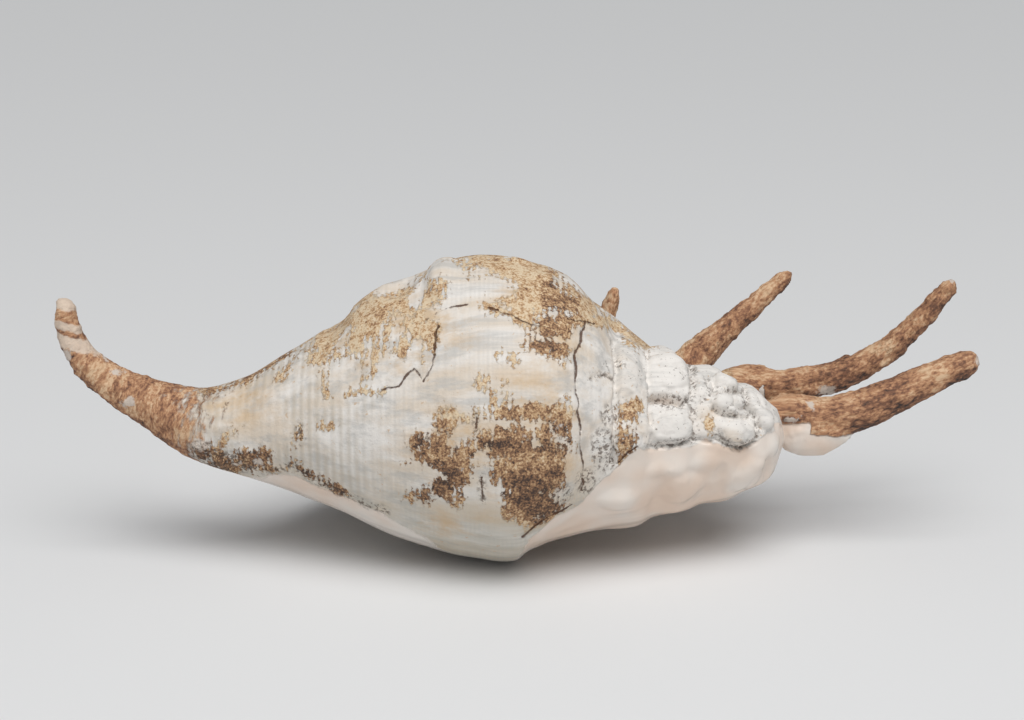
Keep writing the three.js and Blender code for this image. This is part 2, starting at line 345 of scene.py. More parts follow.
SKIN_PATCHES = (
    # the large patch
    Blotch(527, 411, 40, 9),
    Blotch(524, 446, 46, 20),
    Blotch(531, 474, 39, 22),
    Blotch(527, 503, 25, 24),
    Blotch(560, 420, 10, 22),
    Blotch(547, 506, 16, 14),
    Blotch(508, 396, 6, 7),
    Blotch(493, 400, 5, 9),
    # the patch left of it
    Blotch(450, 420, 16, 15),
    Blotch(423, 440, 15, 9),
    Blotch(433, 456, 20, 13),
    Blotch(458, 470, 19, 17),
    Blotch(445, 488, 16, 11),
    Blotch(421, 498, 13, 5),
    Blotch(466, 449, 10, 10),
    Blotch(457, 498, 6, 9),
    Blotch(409, 463, 5, 5),
    # small patches under the shoulder
    Blotch(553, 329, 21, 10),
    Blotch(541, 347, 18, 8),
    Blotch(558, 350, 11, 7),
    Blotch(564, 364, 4, 8),
    Blotch(512, 360, 8, 5),
    Blotch(498, 353, 4, 3),
    Blotch(481, 383, 8, 8),
    Blotch(506, 384, 4, 5),
    # the hump
    Blotch(518, 273, 48, 18),
    Blotch(537, 300, 40, 23),
    Blotch(574, 310, 26, 18),
    Blotch(488, 262, 34, 11),
    Blotch(598, 322, 16, 7),
    Stroke(((487, 306), (510, 312), (530, 322), (573, 321)), 5),
    # the slope down to the canal
    Blotch(433, 290, 15, 16),
    Blotch(407, 305, 26, 18),
    Blotch(384, 309, 28, 18),
    Blotch(364, 325, 30, 19),
    Blotch(420, 326, 17, 18),
    Blotch(401, 346, 13, 12),
    Blotch(338, 342, 29, 17),
    Blotch(318, 356, 16, 8),
    Stroke(((363, 346), (363, 376)), 4),
    Stroke(((375, 352), (374, 378)), 3),
    Stroke(((388, 336), (387, 350)), 4),
    Stroke(((412, 336), (406, 352)), 4),
    Stroke(((423, 345), (424, 372)), 3),
    Stroke(((435, 324), (432, 350)), 3.5),
    Stroke(((205, 388), (225, 389), (250, 377), (290, 355)), 4),
    Stroke(((277, 378), (293, 367)), 2.5),
    Stroke(((323, 374), (326, 396)), 2),
    Stroke(((344, 394), (362, 392), (384, 391)), 2.5),
    Blotch(330, 426, 6, 3),
    # the foot of the canal
    Blotch(203, 452, 14, 8),
    Blotch(226, 463, 23, 9),
    Blotch(250, 458, 18, 10),
    Blotch(271, 470, 12, 5),
    Stroke(((293, 464), (306, 473), (320, 482), (342, 492)), 4),
    Stroke(((238, 428), (228, 436), (222, 448)), 2),
    Blotch(298, 436, 4, 9),
    # the spire
    Blotch(630, 414, 10, 12),
    Blotch(626, 444, 9, 20),
    Blotch(638, 408, 6, 8),
    Blotch(620, 467, 5, 9),
    Blotch(708, 424, 4, 7),
    Stroke(((603, 320), (620, 328), (645, 345)), 7),
)
BARE_PATCHES = (
    Blotch(525, 425, 20, 4),
    Blotch(536, 443, 5, 3),
    Blotch(462, 293, 17, 14),
    Blotch(490, 288, 22, 10),
    Blotch(474, 272, 10, 4),
    Blotch(437, 268, 15, 5),
    Blotch(415, 301, 4, 9),
    Stroke(((424, 285), (416, 302), (411, 318)), 3),
    Stroke(((398, 318), (394, 345)), 4),
    Stroke(((382, 326), (378, 345)), 3),
    Stroke(((346, 331), (341, 350)), 3),
    Blotch(430, 312, 5, 5),
    Blotch(412, 360, 6, 12),
    Blotch(483, 455, 4, 60),
    Blotch(445, 436, 6, 4),
    Blotch(554, 312, 12, 3),
)
BROWN_PATCHES = (
    Blotch(527, 462, 60, 62),
    Blotch(445, 466, 44, 46),
    Blotch(553, 338, 28, 22),
    Blotch(560, 300, 20, 30),
    Blotch(230, 462, 60, 22),
    Stroke(((293, 464), (320, 482), (342, 492)), 8),
    Stroke(((205, 388), (225, 389), (250, 377), (290, 355)), 8),
    Blotch(628, 432, 18, 44),
)
DARK_PATCHES = (
    Blotch(424, 441, 14, 9),
    Blotch(452, 484, 24, 16),
    Blotch(432, 497, 22, 7),
    Blotch(530, 488, 34, 22),
    Blotch(547, 512, 20, 16),
    Blotch(556, 428, 12, 9),
    Blotch(500, 446, 18, 9),
    Blotch(533, 446, 28, 6),
    Blotch(558, 402, 8, 6),
    Blotch(548, 340, 18, 5),
    # painted shadow at the step of the flake's edge
    Stroke(((436, 326), (433, 354)), 5),
    Blotch(245, 460, 30, 12),
    Blotch(226, 464, 24, 9),
    Blotch(203, 453, 12, 8),
    Blotch(250, 464, 20, 7),
    Stroke(((300, 470), (320, 482), (342, 492)), 4),
    Blotch(298, 436, 4, 9),
)
STAINS = (
    Blotch(525, 440, 66, 80),
    Blotch(445, 450, 48, 52),
    Blotch(400, 335, 95, 48),
    Blotch(555, 345, 40, 36),
    Blotch(540, 285, 60, 40),
    Blotch(235, 405, 50, 30),
    Blotch(440, 525, 75, 22),
    Blotch(632, 428, 18, 45),
    Blotch(707, 420, 12, 20),
    Blotch(735, 440, 18, 12),
    Blotch(545, 525, 40, 14),
)
# darker specks: in the crevices between the spire's knobs, along the shell's lower edge and beside some
# cracks
DARK_SPECK_MARKS = (
    Blotch(604, 450, 12, 22),
    Blotch(608, 415, 7, 10),
    Stroke(((588, 378), (597, 374), (606, 375), (613, 380)), 2),
    Blotch(671, 402, 19, 8),
    Blotch(606, 368, 3, 5),
    Blotch(620, 364, 5, 4),
    Stroke(((691, 362), (694, 384), (693, 405), (695, 432)), 2.5),
    Stroke(((706, 376), (709, 394), (703, 400)), 2),
    Stroke(((713, 390), (727, 391), (741, 394)), 2.5),
    Stroke(((714, 409), (728, 414), (745, 416)), 3),
    Stroke(((743, 389), (746, 405), (757, 421), (757, 436)), 2.5),
    Stroke(((652, 446), (676, 443), (696, 438)), 2.5),
    Stroke(((716, 432), (725, 445), (738, 448), (754, 440)), 2.5),
    Blotch(226, 464, 28, 11),
    Blotch(202, 451, 15, 9),
    Stroke(((262, 470), (296, 467), (316, 481), (340, 492), (362, 501), (386, 512)), 3),
    Blotch(299, 434, 5, 11),
    Blotch(559, 492, 13, 9),
    Stroke(((483, 475), (484, 500)), 3),
    Stroke(((475, 412), (477, 430)), 2.5),
    Blotch(586, 482, 9, 12),
)
PALE_SPOTS = (
    Blotch(827, 390, 10, 6),
    Blotch(811, 406, 6, 5),
    Blotch(793, 420, 10, 4),
    Blotch(954, 279, 7, 4),
    Blotch(978, 361, 3, 7),
    Blotch(200, 446, 11, 6),
    Blotch(238, 464, 6, 3),
    Blotch(258, 462, 6, 4),
    Blotch(117, 372, 7, 3),
    Blotch(128, 402, 6, 6),
    Blotch(66, 356, 5, 9),
    Blotch(105, 358, 3, 3),
    Blotch(560, 426, 3, 3),
    Blotch(523, 435, 3, 3),
    Blotch(463, 468, 3, 3),
    Blotch(560, 492, 5, 4),
)
CRACKS = (
    Stroke(
        ((584, 323), (581, 340), (576, 354), (576, 383), (578, 411), (581, 440), (583, 468), (582, 490)),
        0.6,
    ),
    Stroke(((568, 320), (580, 321), (593, 324)), 0.4),
    # painted shadow: the dark line at the step of the flake's edge
    Stroke(((437, 326), (434, 354)), 0.7),
    Stroke(((434, 354), (430, 370), (424, 382)), 0.4),
    Stroke(((422, 379), (413, 368), (404, 380), (398, 386), (387, 389), (380, 393)), 0.5),
    Stroke(((419, 326), (438, 311), (452, 307), (468, 306)), 0.1),
    Stroke(((523, 536), (536, 524), (550, 517), (562, 510), (572, 504)), 0.6),
    Stroke(((476, 414), (477, 428)), 0.2),
    Stroke(((483, 477), (484, 500)), 0.3),
    Stroke(((488, 307), (510, 313), (520, 318), (532, 325), (548, 327)), 0.3),
    Stroke(((612, 466), (622, 459), (637, 446)), 0.5),
)
SPIRE_SEAMS = (
    Stroke(((617, 340), (618, 380), (617, 420), (612, 462)), 2.5),
    Stroke(((647, 347), (648, 380), (651, 415), (652, 446)), 1.2),
    Stroke(((690, 360), (694, 384), (693, 405), (695, 436)), 2.2),
    Stroke(((706, 376), (709, 393)), 1.0),
    Stroke(((655, 398), (672, 399), (688, 402)), 4.0),
    Stroke(((712, 376), (714, 391), (713, 412)), 1.5),
    Stroke(((713, 391), (727, 392), (742, 393)), 1.6),
    Stroke(((712, 411), (728, 416), (745, 417)), 1.6),
    Stroke(((743, 387), (746, 405), (756, 420), (757, 436)), 1.8),
    Stroke(((650, 447), (676, 445), (697, 439), (712, 441)), 1.6),
    Stroke(((714, 437), (725, 446), (740, 450), (755, 441)), 1.8),
    Stroke(((652, 371), (676, 367), (688, 384)), 0.5),
    Stroke(((588, 378), (597, 374), (606, 375), (613, 380)), 1.0),
)
GLAZE_EDGE: tuple[Pixel, ...] = (
    (190, 520), (240, 480), (270, 475), (296, 476), (316, 486), (350, 499), (390, 516), (418, 533),
    (447, 553), (480, 580), (512, 580), (524, 545), (550, 522), (572, 508), (590, 494), (612, 470),
    (638, 448), (690, 446), (706, 438), (724, 447), (741, 452), (757, 440), (770, 432), (786, 424),
)

FLAP_TOP: tuple[Pixel, ...] = ((778, 423), (798, 430), (818, 437), (836, 438), (853, 434))
FLAP_BOTTOM: tuple[Pixel, ...] = ((806, 460), (816, 459), (832, 450), (853, 436), (890, 424))
FLAP_MIDDLE = (240.0, 10.0, 37.4)  # in mm, as the fingers are
FLAP_REACH = 24.0
FLAP_ROOT = 225.0  # in mm from the canal's tip
FLAP_FADE = (800.0, 816.0)  # pixels across between which its cut edge sets in


@dataclass(frozen=True)
class Finger:
    """A finger's middle line in mm: X from the canal's tip, Y from the coiling axis, Z from the table.

    The last length is how much further than the solid its tip reaches.
    """

    line: tuple[tuple[float, float, float], ...]
    stretch: float = 0.0

    def follow(self, points: np.ndarray) -> tuple[np.ndarray, np.ndarray, np.ndarray, np.ndarray]:
        """Compares points with the line.

        Args:
            points: places, in mm.

        Returns:
            Each point's distance from the line, its place along it, its offset from it, and the
            line's direction there.
        """
        distance = np.full(len(points), 1e6)
        along = np.zeros(len(points))
        offset = np.zeros_like(points)
        heading = np.zeros_like(points)
        walked = 0.0
        for start, end in zip(self.line, self.line[1:]):
            run = np.subtract(end, start)
            length = float(np.linalg.norm(run))
            share = np.clip((points - start) @ run / length**2, 0.0, 1.0)
            apart = points - start - share[:, None] * run
            gap = np.linalg.norm(apart, axis=1)
            closer = gap < distance
            distance = np.where(closer, gap, distance)
            along = np.where(closer, walked + share * length, along)
            offset = np.where(closer[:, None], apart, offset)
            heading = np.where(closer[:, None], run / length, heading)
            walked += length
        return distance, along, offset, heading

    @property
    def length(self) -> float:
        """Length of the line, in mm."""
        return sum(math.dist(a, b) for a, b in zip(self.line, self.line[1:]))


FINGERS = (
    Finger(((234, 12, 42), (243, 12, 41.6), (256, 12.5, 44), (274, 14, 51.8), (292, 15, 60)), 1.4),
    Finger(((222, 38, 42), (241, 40, 45), (256, 42, 48.4), (272, 44.5, 57.6), (290, 47, 77)), 2.6),
    Finger(((204, 62, 38), (208, 69, 47), (221, 78, 56), (241, 88, 71.6)), 1.8),
    Finger(((168, 86, 18), (173, 96, 37), (181, 106, 62)), 1.0),
    Finger(((134, 90, 11), (136, 104, 22), (140, 114, 48)), 1.0),
    Finger(((102, 82, 10), (95, 93, 18), (89, 103, 37)), 1.0),
)
CANAL = Finger(
    ((2.6, 0, 82), (3.9, 0, 71), (8, 0, 63), (18, 0, 55), (31, 0, 48.6), (46, 0, 43), (80, 0, 42))
)


class NodeKit:
    """Puts together the nodes of one material."""

    def __init__(self, name: str) -> None:
        """Starts an empty material with the given name."""
        self.material = bpy.data.materials.new(name)
        self.material.use_nodes = True
        self.tree = self.material.node_tree
        self.tree.nodes.clear()

    def add(self, kind: str, **options: object) -> bpy.types.Node:
        """Adds a node of a kind and sets its options."""
        node = self.tree.nodes.new(kind)
        for option, value in options.items():
            setattr(node, option, value)
        return node

    def feed(self, socket: Socket, value: Value) -> None:
        """Links a socket to another one, or sets its value."""
        if isinstance(value, bpy.types.NodeSocket):
            self.tree.links.new(value, socket)
        else:
            socket.default_value = value

    def field(self, mark: Field) -> Socket:
        """Returns a mark that is stored on the mesh."""
        return self.add("ShaderNodeAttribute", attribute_name=mark.value).outputs["Fac"]

    def place(self, scale: Sequence[float], space: Space = Space.SHELL) -> Socket:
        """Returns the places that a pattern is laid out along, scaled along each axis."""
        mapping = self.add("ShaderNodeMapping")
        if space is Space.SHELL:
            source = self.add("ShaderNodeTexCoord").outputs["Object"]
        else:
            source = self.add("ShaderNodeAttribute", attribute_name=space.value).outputs["Vector"]
        self.feed(mapping.inputs["Vector"], source)
        mapping.inputs["Scale"].default_value = scale
        return mapping.outputs["Vector"]

    def math(self, operation: str, *values: Value) -> Socket:
        """Returns the result of a math operation."""
        node = self.add("ShaderNodeMath", operation=operation)
        for socket, value in zip(node.inputs, values):
            self.feed(socket, value)
        return node.outputs["Value"]

    def total(self, *values: Value) -> Socket:
        """Returns the sum of several values."""
        result = values[0]
        for value in values[1:]:
            result = self.math("ADD", result, value)
        return result

    def step(self, value: Value, low: float, high: float) -> Socket:
        """Returns a smooth rise from 0 at low to 1 at high."""
        node = self.add("ShaderNodeMapRange", interpolation_type="SMOOTHSTEP")
        self.feed(node.inputs["Value"], value)
        node.inputs["From Min"].default_value = low
        node.inputs["From Max"].default_value = high
        return node.outputs["Result"]

    def fall(self, value: Value, low: float, high: float) -> Socket:
        """Returns a smooth fall from 1 at low to 0 at high."""
        return self.math("SUBTRACT", 1.0, self.step(value, low, high))

    def grain(
        self,
        scale: float,
        stretch: Sequence[float] = (1, 1, 1),
        detail: float = 4.0,
        space: Space = Space.SHELL,
    ) -> Socket:
        """Returns noise from 0 to 1.

        Args:
            scale: waves to the metre.
            stretch: shares of that along each axis, less for longer waves.
            detail: how many finer waves are added.
            space: what the noise is laid out along.

        Returns:
            The noise, mostly near 0.5.
        """
        node = self.add("ShaderNodeTexNoise")
        self.feed(node.inputs["Vector"], self.place(stretch, space))
        node.inputs["Scale"].default_value = scale
        node.inputs["Detail"].default_value = detail
        node.inputs["Roughness"].default_value = 0.62
        return node.outputs["Fac"]

    def spread(self, value: Value, amount: float) -> Socket:
        """Returns noise as a change of so much to either side of 0."""
        return self.math("MULTIPLY_ADD", value, amount, -amount / 2)

    def threads(self, period_mm: float, wander: float) -> Socket:
        """Returns the fine spiral threads, which run round the shell, from 0 to 1."""
        node = self.add("ShaderNodeTexWave", wave_type="BANDS", bands_direction="X")
        self.feed(node.inputs["Vector"], self.place((1, 1, 1)))
        node.inputs["Scale"].default_value = 2 * math.pi / 20 / (period_mm * MM)
        node.inputs["Distortion"].default_value = wander
        node.inputs["Detail"].default_value = 2.0
        node.inputs["Detail Scale"].default_value = 0.4
        return node.outputs["Fac"]

    def mix(self, share: Value, below: Value, above: Value) -> Socket:
        """Returns a colour that lies over another one by a share."""
        node = self.add("ShaderNodeMix", data_type="RGBA")
        sockets = [s for s in node.inputs if s.type == "RGBA"]
        self.feed(node.inputs["Factor"], share)
        for socket, colour in zip(sockets, (below, above)):
            self.feed(socket, (*colour, 1.0) if isinstance(colour, tuple) else colour)
        return next(s for s in node.outputs if s.type == "RGBA")

    def blend(self, share: Value, below: Value, above: Value) -> Socket:
        """Returns a number that goes from below to above by a share."""
        node = self.add("ShaderNodeMix", data_type="FLOAT")
        for name, value in (("Factor", share), ("A", below), ("B", above)):
            self.feed(node.inputs[name], value)
        return node.outputs["Result"]

    def ramp(self, value: Value, stops: Ramp) -> Socket:
        """Returns the colour of a value between several stops."""
        node = self.add("ShaderNodeValToRGB")
        elements = node.color_ramp.elements
        while len(elements) < len(stops):
            elements.new(1.0)
        for element, (position, colour) in zip(elements, stops):
            element.position = position
            element.color = (*colour, 1.0)
        self.feed(node.inputs["Fac"], value)
        return node.outputs["Color"]


@dataclass(frozen=True)
class ShellFinish:
    """Colours and gloss of the shell's surface."""

    chalk_pale: Colour = srgb(234, 229, 223)
    chalk_warm: Colour = srgb(220, 206, 189)
    chalk_grey: Colour = srgb(186, 184, 180)
    thread: Colour = srgb(188, 176, 158)
    # painted shade: the colour the chalk takes low on the shell
    chalk_low_shade: Colour = srgb(176, 173, 158)
    stain: Colour = srgb(208, 176, 134)
    skin: Ramp = (
        (0.0, srgb(226, 205, 174)),
        (0.28, srgb(200, 164, 124)),
        (0.58, srgb(148, 111, 82)),
        (0.95, srgb(74, 59, 52)),
    )
    crust: Ramp = (
        (0.05, srgb(224, 190, 154)),
        (0.36, srgb(190, 142, 106)),
        (0.66, srgb(136, 96, 74)),
        (0.98, srgb(66, 54, 50)),
    )
    pale: Colour = srgb(216, 205, 194)
    ring_cream: Colour = srgb(226, 208, 190)
    dark_specks: Colour = srgb(88, 72, 60)
    crack: Colour = srgb(84, 50, 28)
    glaze_cream: Colour = srgb(233, 226, 218)
    glaze_peach: Colour = srgb(229, 207, 189)
    rough_chalk: float = 0.8
    rough_glaze: float = 0.2
    rings: tuple[tuple[float, float], ...] = ((79.4, 200.0), (73.2, 75.6), (67.8, 71.6))  # heights, in mm
    ring_fade: float = 0.4  # mm to either side of a ring's edge

    def material(self) -> bpy.types.Material:
        """Builds the material and returns it."""
        kit = NodeKit("weathered_shell")
        colour, skin = self._skin(kit, self._chalk(kit))
        colour, crust = self._crust(kit, colour)
        colour, glaze = self._glaze(kit, colour)
        colour, crack = self._grime(kit, colour)
        shader = kit.add("ShaderNodeBsdfPrincipled")
        kit.feed(shader.inputs["Base Color"], colour)
        kit.feed(shader.inputs["Roughness"], kit.blend(glaze, self.rough_chalk, self.rough_glaze))
        kit.feed(shader.inputs["Normal"], self._bump(kit, skin, crust, crack, glaze))
        shader.inputs["Specular IOR Level"].default_value = 0.4
        output = kit.add("ShaderNodeOutputMaterial")
        kit.feed(output.inputs["Surface"], shader.outputs["BSDF"])
        return kit.material

    def _chalk(self, kit: NodeKit) -> Socket:
        """Returns the bare chalk with its growth streaks, threads and stains, and a painted shade that
        makes it greyer and darker towards the bottom.
        """
        spire = kit.field(Field.SPIRE)
        streaks = kit.step(kit.grain(95, (0.12, 1, 1), 6), 0.38, 0.64)
        colour = kit.mix(kit.math("MAXIMUM", streaks, spire), self.chalk_warm, self.chalk_pale)
        cool = kit.math("MULTIPLY", kit.step(kit.grain(230, (0.1, 1, 1), 5), 0.46, 0.66), 0.62)
        colour = kit.mix(cool, colour, self.chalk_grey)
        side = kit.add("ShaderNodeSeparateXYZ")
        kit.feed(side.inputs["Vector"], kit.place((1, 1, 1)))
        # painted shade: the chalk turns greyer and darker towards the bottom of the shell
        low = kit.math("MULTIPLY", kit.fall(side.outputs["Z"], 0.012, 0.05), kit.grain(300, (0.2, 1, 1), 6))
        colour = kit.mix(kit.math("MULTIPLY", low, 0.9), colour, self.chalk_low_shade)
        flank = kit.fall(side.outputs["X"], -0.058, -0.03)
        body = kit.math("SUBTRACT", 1.0, spire)
        worn = kit.math("MULTIPLY", kit.step(kit.grain(70, (1, 1, 1), 4), 0.38, 0.58), body)
        coarse = kit.math("MULTIPLY", kit.math("MULTIPLY", kit.threads(2.5, 1.0), flank), worn)
        colour = kit.mix(kit.math("MULTIPLY", coarse, 0.5), colour, self.thread)
        fine = kit.math("MULTIPLY", kit.math("MULTIPLY", kit.threads(1.4, 0.8), worn), 0.16)
        colour = kit.mix(fine, colour, self.chalk_grey)
        mottle = kit.step(kit.grain(150, (0.5, 1, 1), 7), 0.42, 0.68)
        soft = kit.math("MULTIPLY", kit.field(Field.STAIN), mottle)
        colour = kit.mix(kit.math("MULTIPLY", soft, 0.75), colour, self.stain)
        specks = kit.math("MULTIPLY", kit.step(kit.grain(420, (1, 1, 1), 3), 0.66, 0.72), 0.6)
        colour = kit.mix(specks, colour, self.skin[1][1])
        pits = kit.math("MULTIPLY", spire, kit.step(kit.grain(800, detail=5), 0.6, 0.68))
        return kit.mix(kit.math("MULTIPLY", pits, 0.7), colour, self.dark_specks)

    def _skin(self, kit: NodeKit, colour: Socket) -> tuple[Socket, Socket]:
        """Returns the chalk with the brown skin over it, and where the skin is."""
        edge = kit.total(
            kit.field(Field.SKIN),
            kit.spread(kit.grain(170, (1.3, 0.8, 0.8), 7), 34.0),
            kit.spread(kit.grain(800, (1, 1, 1), 5), 22.0),
            kit.math("MULTIPLY", kit.threads(1.7, 1.5), -2.5),
        )
        skin = kit.step(edge, -1.6, 1.2)
        tone = kit.total(
            kit.field(Field.TONE_AND_SHADE),
            kit.spread(kit.grain(75, (1, 1, 1), 3), 0.7),
            kit.spread(kit.grain(450, (1, 1, 1), 6), 1.9),
            kit.spread(kit.grain(1500, (1, 1, 1), 3), 2.0),
        )
        return kit.mix(skin, colour, kit.ramp(tone, self.skin)), skin

    def _crust(self, kit: NodeKit, colour: Socket) -> tuple[Socket, Socket]:
        """Returns the colour with the fingers' and canal's crust over it, and where the crust is."""
        fibres = kit.grain(420, (0.3, 1, 1), 6, Space.FINGER)
        worn = kit.total(
            kit.field(Field.CRUST),
            kit.spread(fibres, 1.5),
            kit.spread(kit.grain(110, detail=4), 0.5),
        )
        crust = kit.step(worn, 0.3, 0.62)
        # the tone field holds painted shade: the crust is darker on its undersides
        tone = kit.total(
            kit.math("MULTIPLY_ADD", kit.field(Field.TONE_AND_SHADE), 0.5, 0.3),
            kit.spread(kit.grain(60, (0.8, 1, 1), 4, Space.FINGER), 1.3),
            kit.spread(kit.grain(300, (0.4, 1, 1), 6, Space.FINGER), 1.5),
            kit.spread(kit.grain(1100, (0.5, 1, 1), 4, Space.FINGER), 1.6),
        )
        brown = self._rings(kit, kit.ramp(tone, self.crust))
        return kit.mix(crust, colour, brown), crust

    def _rings(self, kit: NodeKit, brown: Socket) -> Socket:
        """Returns the crust with the cream rings of the canal's tip."""
        height = kit.math("ADD", kit.field(Field.RING), kit.spread(kit.grain(300, detail=4), 3.4))
        fade = self.ring_fade
        for low, high in self.rings:
            above = kit.step(height, low - fade, low + fade)
            ring = kit.math("MULTIPLY", above, kit.fall(height, high - fade, high + fade))
            brown = kit.mix(kit.math("MULTIPLY", ring, 0.85), brown, self.ring_cream)
        return brown

    def _grime(self, kit: NodeKit, colour: Socket) -> tuple[Socket, Socket]:
        """Returns the colour with pale spots, darker specks and cracks over it, and where the cracks are.
        """
        spots = kit.math("ADD", kit.field(Field.PALE), kit.spread(kit.grain(450, detail=5), 14.0))
        colour = kit.mix(kit.math("MULTIPLY", kit.step(spots, -0.5, 1.8), 0.85), colour, self.pale)
        specks = kit.step(kit.grain(750, detail=6), 0.47, 0.6)
        # darker specks where those marks are
        dark_specks = kit.math("MULTIPLY", kit.field(Field.DARK_SPECKS), specks)
        colour = kit.mix(kit.math("MULTIPLY", dark_specks, 0.8), colour, self.dark_specks)
        edge = kit.total(
            kit.field(Field.CRACK),
            kit.spread(kit.grain(900, detail=4), 3.0),
            kit.spread(kit.grain(140, detail=2), 4.0),
        )
        crack = kit.step(edge, -0.8, 0.4)
        return kit.mix(kit.math("MULTIPLY", crack, 0.9), colour, self.crack), crack

    def _glaze(self, kit: NodeKit, colour: Socket) -> tuple[Socket, Socket]:
        """Returns the colour with the glossy callus over it, and where the callus is."""
        edge = kit.math("ADD", kit.field(Field.GLAZE), kit.spread(kit.grain(110, detail=5), 9.0))
        glaze = kit.step(edge, -0.9, 1.4)
        tone = kit.step(kit.grain(24, detail=3), 0.42, 0.66)
        return kit.mix(glaze, colour, kit.mix(tone, self.glaze_cream, self.glaze_peach)), glaze

    def _bump(self, kit: NodeKit, skin: Socket, crust: Socket, crack: Socket, glaze: Socket) -> Socket:
        """Returns the surface's direction with its finest relief."""
        bare = kit.math("SUBTRACT", 1.0, kit.field(Field.SPIRE))
        lines = kit.math("MULTIPLY", kit.math("MULTIPLY", kit.threads(2.5, 1.0), bare), 0.3)
        growth = kit.grain(420, (0.08, 1, 1), 5)
        chalk = kit.math("MULTIPLY", kit.grain(1500, detail=5), 0.7)
        grit = kit.math("MULTIPLY", skin, kit.math("MULTIPLY_ADD", kit.grain(1000, detail=6), 1.6, 0.5))
        fibres = kit.math("MULTIPLY", kit.grain(500, (0.4, 1, 1), 7, Space.FINGER), 5.0)
        bark = kit.math("MULTIPLY", crust, fibres)
        height = kit.total(lines, growth, chalk, grit, bark, kit.math("MULTIPLY", crack, -2.0))
        height = kit.math("MULTIPLY", height, kit.blend(glaze, 1.0, 0.05))
        bump = kit.add("ShaderNodeBump")
        bump.inputs["Strength"].default_value = 0.7
        bump.inputs["Distance"].default_value = 0.35 * MM
        kit.feed(bump.inputs["Height"], height)
        return bump.outputs["Normal"]


